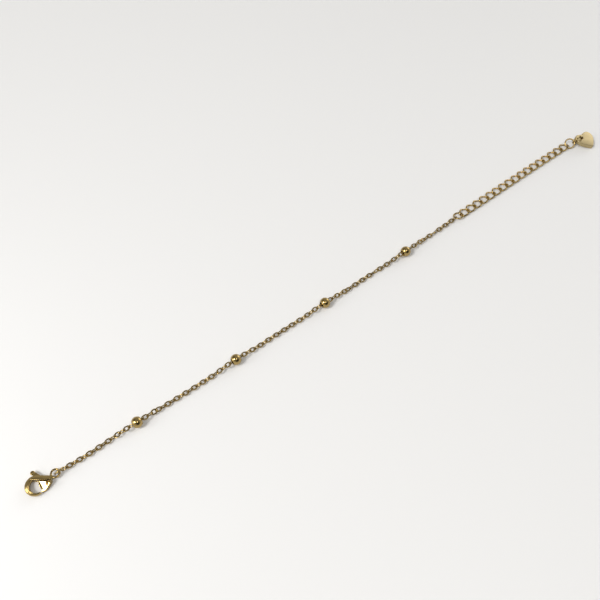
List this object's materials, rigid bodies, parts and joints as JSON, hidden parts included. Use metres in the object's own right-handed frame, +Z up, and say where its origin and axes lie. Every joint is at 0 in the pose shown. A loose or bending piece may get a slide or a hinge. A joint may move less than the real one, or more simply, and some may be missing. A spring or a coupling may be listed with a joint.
{
  "type": "bracelet",
  "caption": "Fine gold-tone cable-chain bracelet with ball beads, laid out straight and open: lobster clasp at one end, curb-link extender with a flat heart charm at the other.",
  "frame": {"origin": "middle of the bracelet's footprint, on the surface that it lies on", "axes": "+X along the laid-out bracelet from the clasp to the heart, +Y across it to the side where the clasp's thumb tab is, +Z up"},
  "size_m": [0.2018, 0.0086, 0.0039],
  "materials": {
    "polished_gold": "polished, pale gold tone over stainless steel",
    "satin_gold": "fine satin, pale gold tone over stainless steel"
  },
  "bodies": {
    "bracelet": {"clasp_body": "polished_gold", "clasp_jump_ring": "polished_gold", "chain_1": "polished_gold", "chain_2": "polished_gold", "chain_3": "polished_gold", "chain_4": "polished_gold", "chain_5": "polished_gold", "bead_1": "polished_gold", "bead_2": "polished_gold", "bead_3": "polished_gold", "bead_4": "polished_gold", "first_ring": "polished_gold", "extender_1": "polished_gold", "extender_2": "polished_gold", "extender_3": "polished_gold", "extender_4": "polished_gold", "end_ring": "polished_gold", "charm_ring": "polished_gold", "heart_charm": "satin_gold"},
    "lever": {"clasp_lever": "polished_gold"}
  },
  "joints": [
    {"name": "lever_hinge", "type": "hinge", "parent": "bracelet", "child": "lever", "pos_m": [-0.09646, 0.00134, 0.00085], "axis": [0, 0, -1], "range_deg": [0, 24], "stiffness_Nm_per_rad": 0.001}
  ]
}
